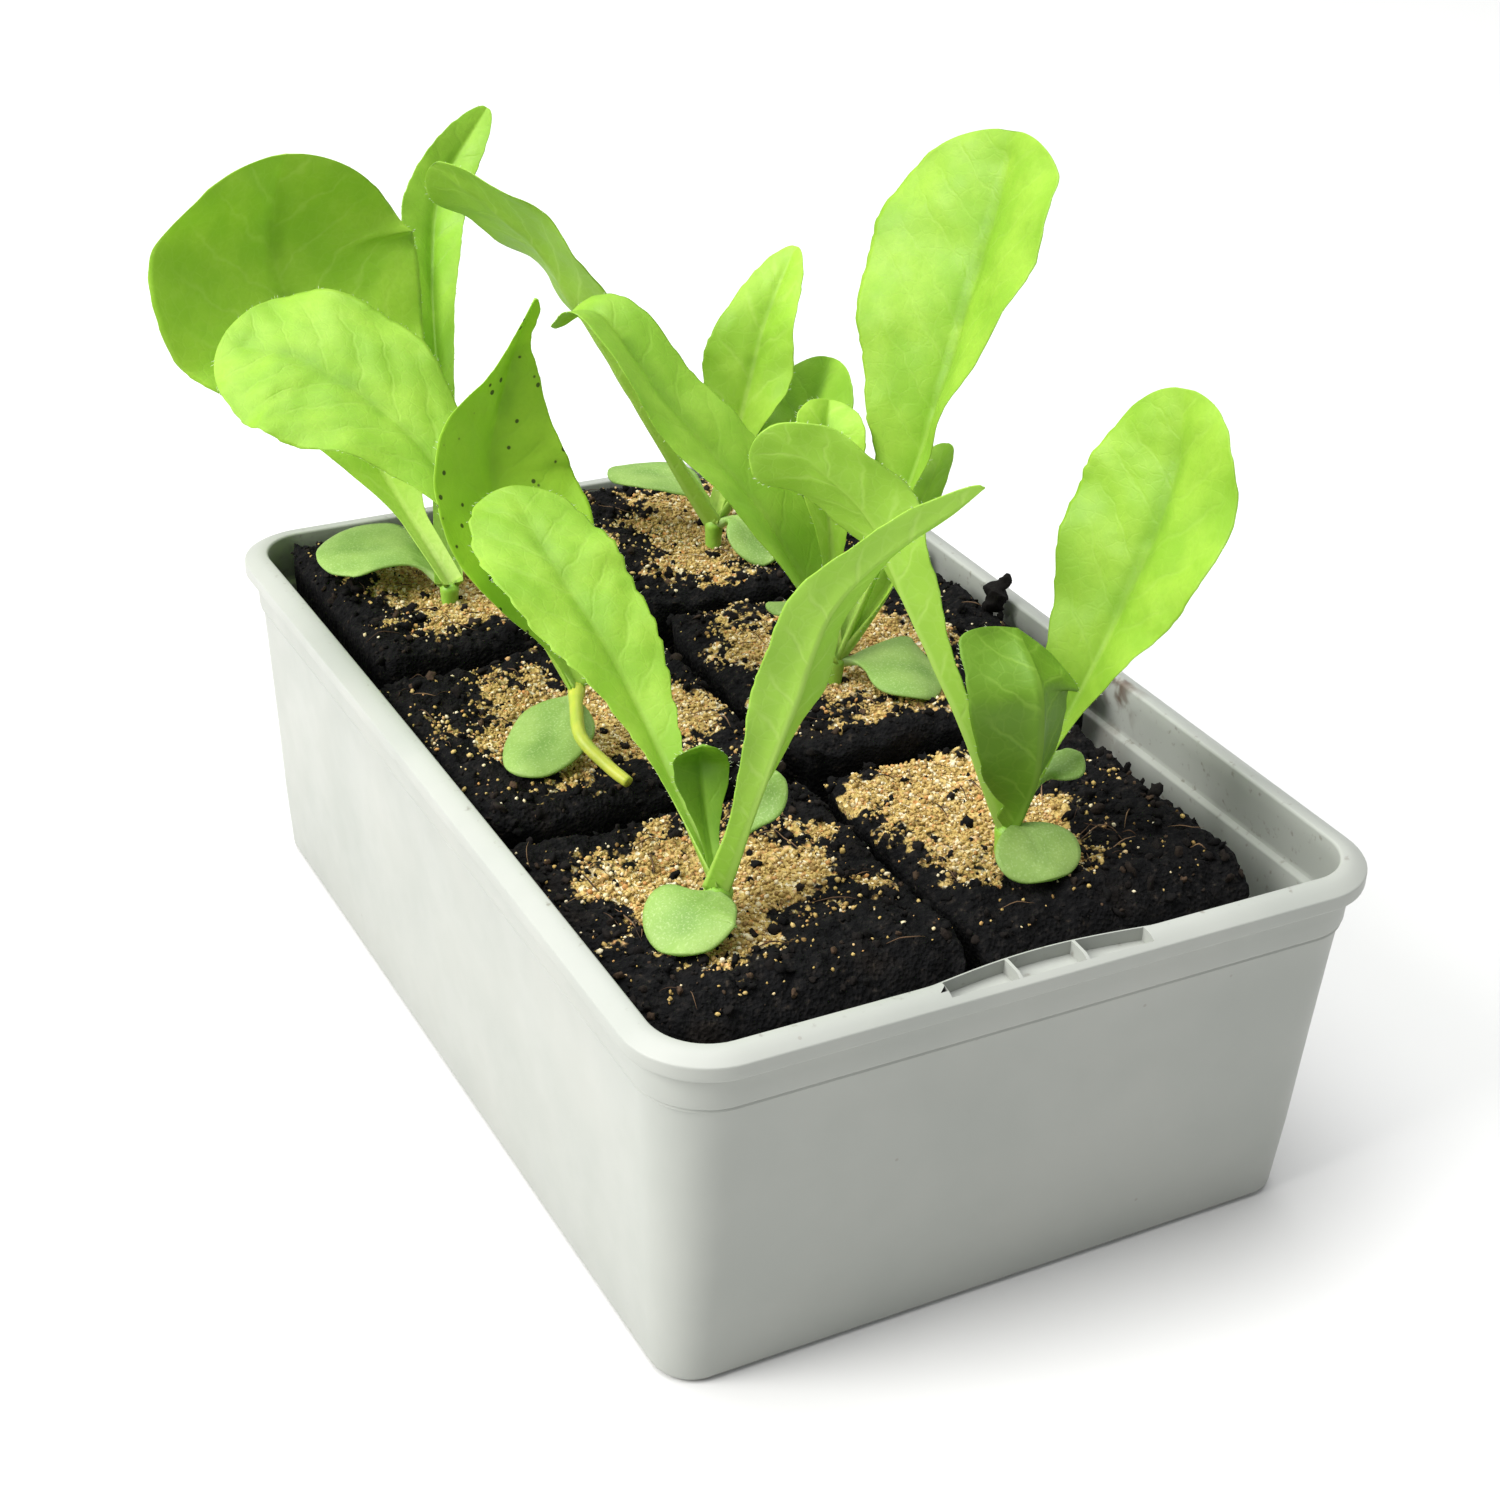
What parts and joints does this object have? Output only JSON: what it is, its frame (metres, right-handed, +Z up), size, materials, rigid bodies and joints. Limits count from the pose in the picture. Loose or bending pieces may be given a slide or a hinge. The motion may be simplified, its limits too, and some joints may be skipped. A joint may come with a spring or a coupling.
{
  "type": "endive seedling tray",
  "caption": "Shallow grey plastic tray holding pressed peat blocks, each with a sand-filled dimple and a young endive plant; rests on a flat surface",
  "frame": {"origin": "centre of the tray's flat underside", "axes": "+Z up; Y along the tray's long side, with the short rim that has the pocket at -Y; X across the tray"},
  "size_m": [0.1406, 0.2133, 0.1544],
  "materials": {
    "tray_plastic": "light grey moulded plastic, satin, slightly scuffed",
    "peat": null,
    "sand": "loose tan sand, mixed grains",
    "leaf": null,
    "cotyledon": null,
    "stem": null
  },
  "bodies": {
    "root": {"tray": "tray_plastic", "soil_block_1": "peat", "sand_cover_1": "sand", "soil_block_2": "peat", "sand_cover_2": "sand", "soil_block_3": "peat", "sand_cover_3": "sand", "soil_block_4": "peat", "sand_cover_4": "sand", "soil_block_5": "peat", "sand_cover_5": "sand", "soil_block_6": "peat", "sand_cover_6": "sand", "seedling_1_stem": "stem", "seedling_1_cotyledon_1": "cotyledon", "seedling_1_cotyledon_2": "cotyledon", "seedling_1_leaf_1": "leaf", "seedling_1_leaf_2": "leaf", "seedling_1_leaf_3": "leaf", "seedling_2_stem": "stem", "seedling_2_cotyledon_1": "cotyledon", "seedling_2_cotyledon_2": "cotyledon", "seedling_2_leaf_1": "leaf", "seedling_2_leaf_2": "leaf", "seedling_2_leaf_3": "leaf", "seedling_3_stem": "stem", "seedling_3_cotyledon_1": "cotyledon", "seedling_3_leaf_1": "leaf", "seedling_3_leaf_2": "leaf", "seedling_4_stem": "stem", "seedling_4_cotyledon_1": "cotyledon", "seedling_4_cotyledon_2": "cotyledon", "seedling_4_leaf_1": "leaf", "seedling_4_leaf_2": "leaf", "seedling_4_leaf_3": "leaf", "seedling_4_leaf_4": "leaf", "seedling_5_stem": "stem", "seedling_5_cotyledon_1": "cotyledon", "seedling_5_leaf_1": "leaf", "seedling_5_leaf_2": "leaf", "seedling_6_stem": "stem", "seedling_6_cotyledon_1": "cotyledon", "seedling_6_cotyledon_2": "cotyledon", "seedling_6_leaf_1": "leaf", "seedling_6_leaf_2": "leaf", "seedling_6_leaf_3": "leaf", "peat_chip": "peat"}
  },
  "joints": []
}
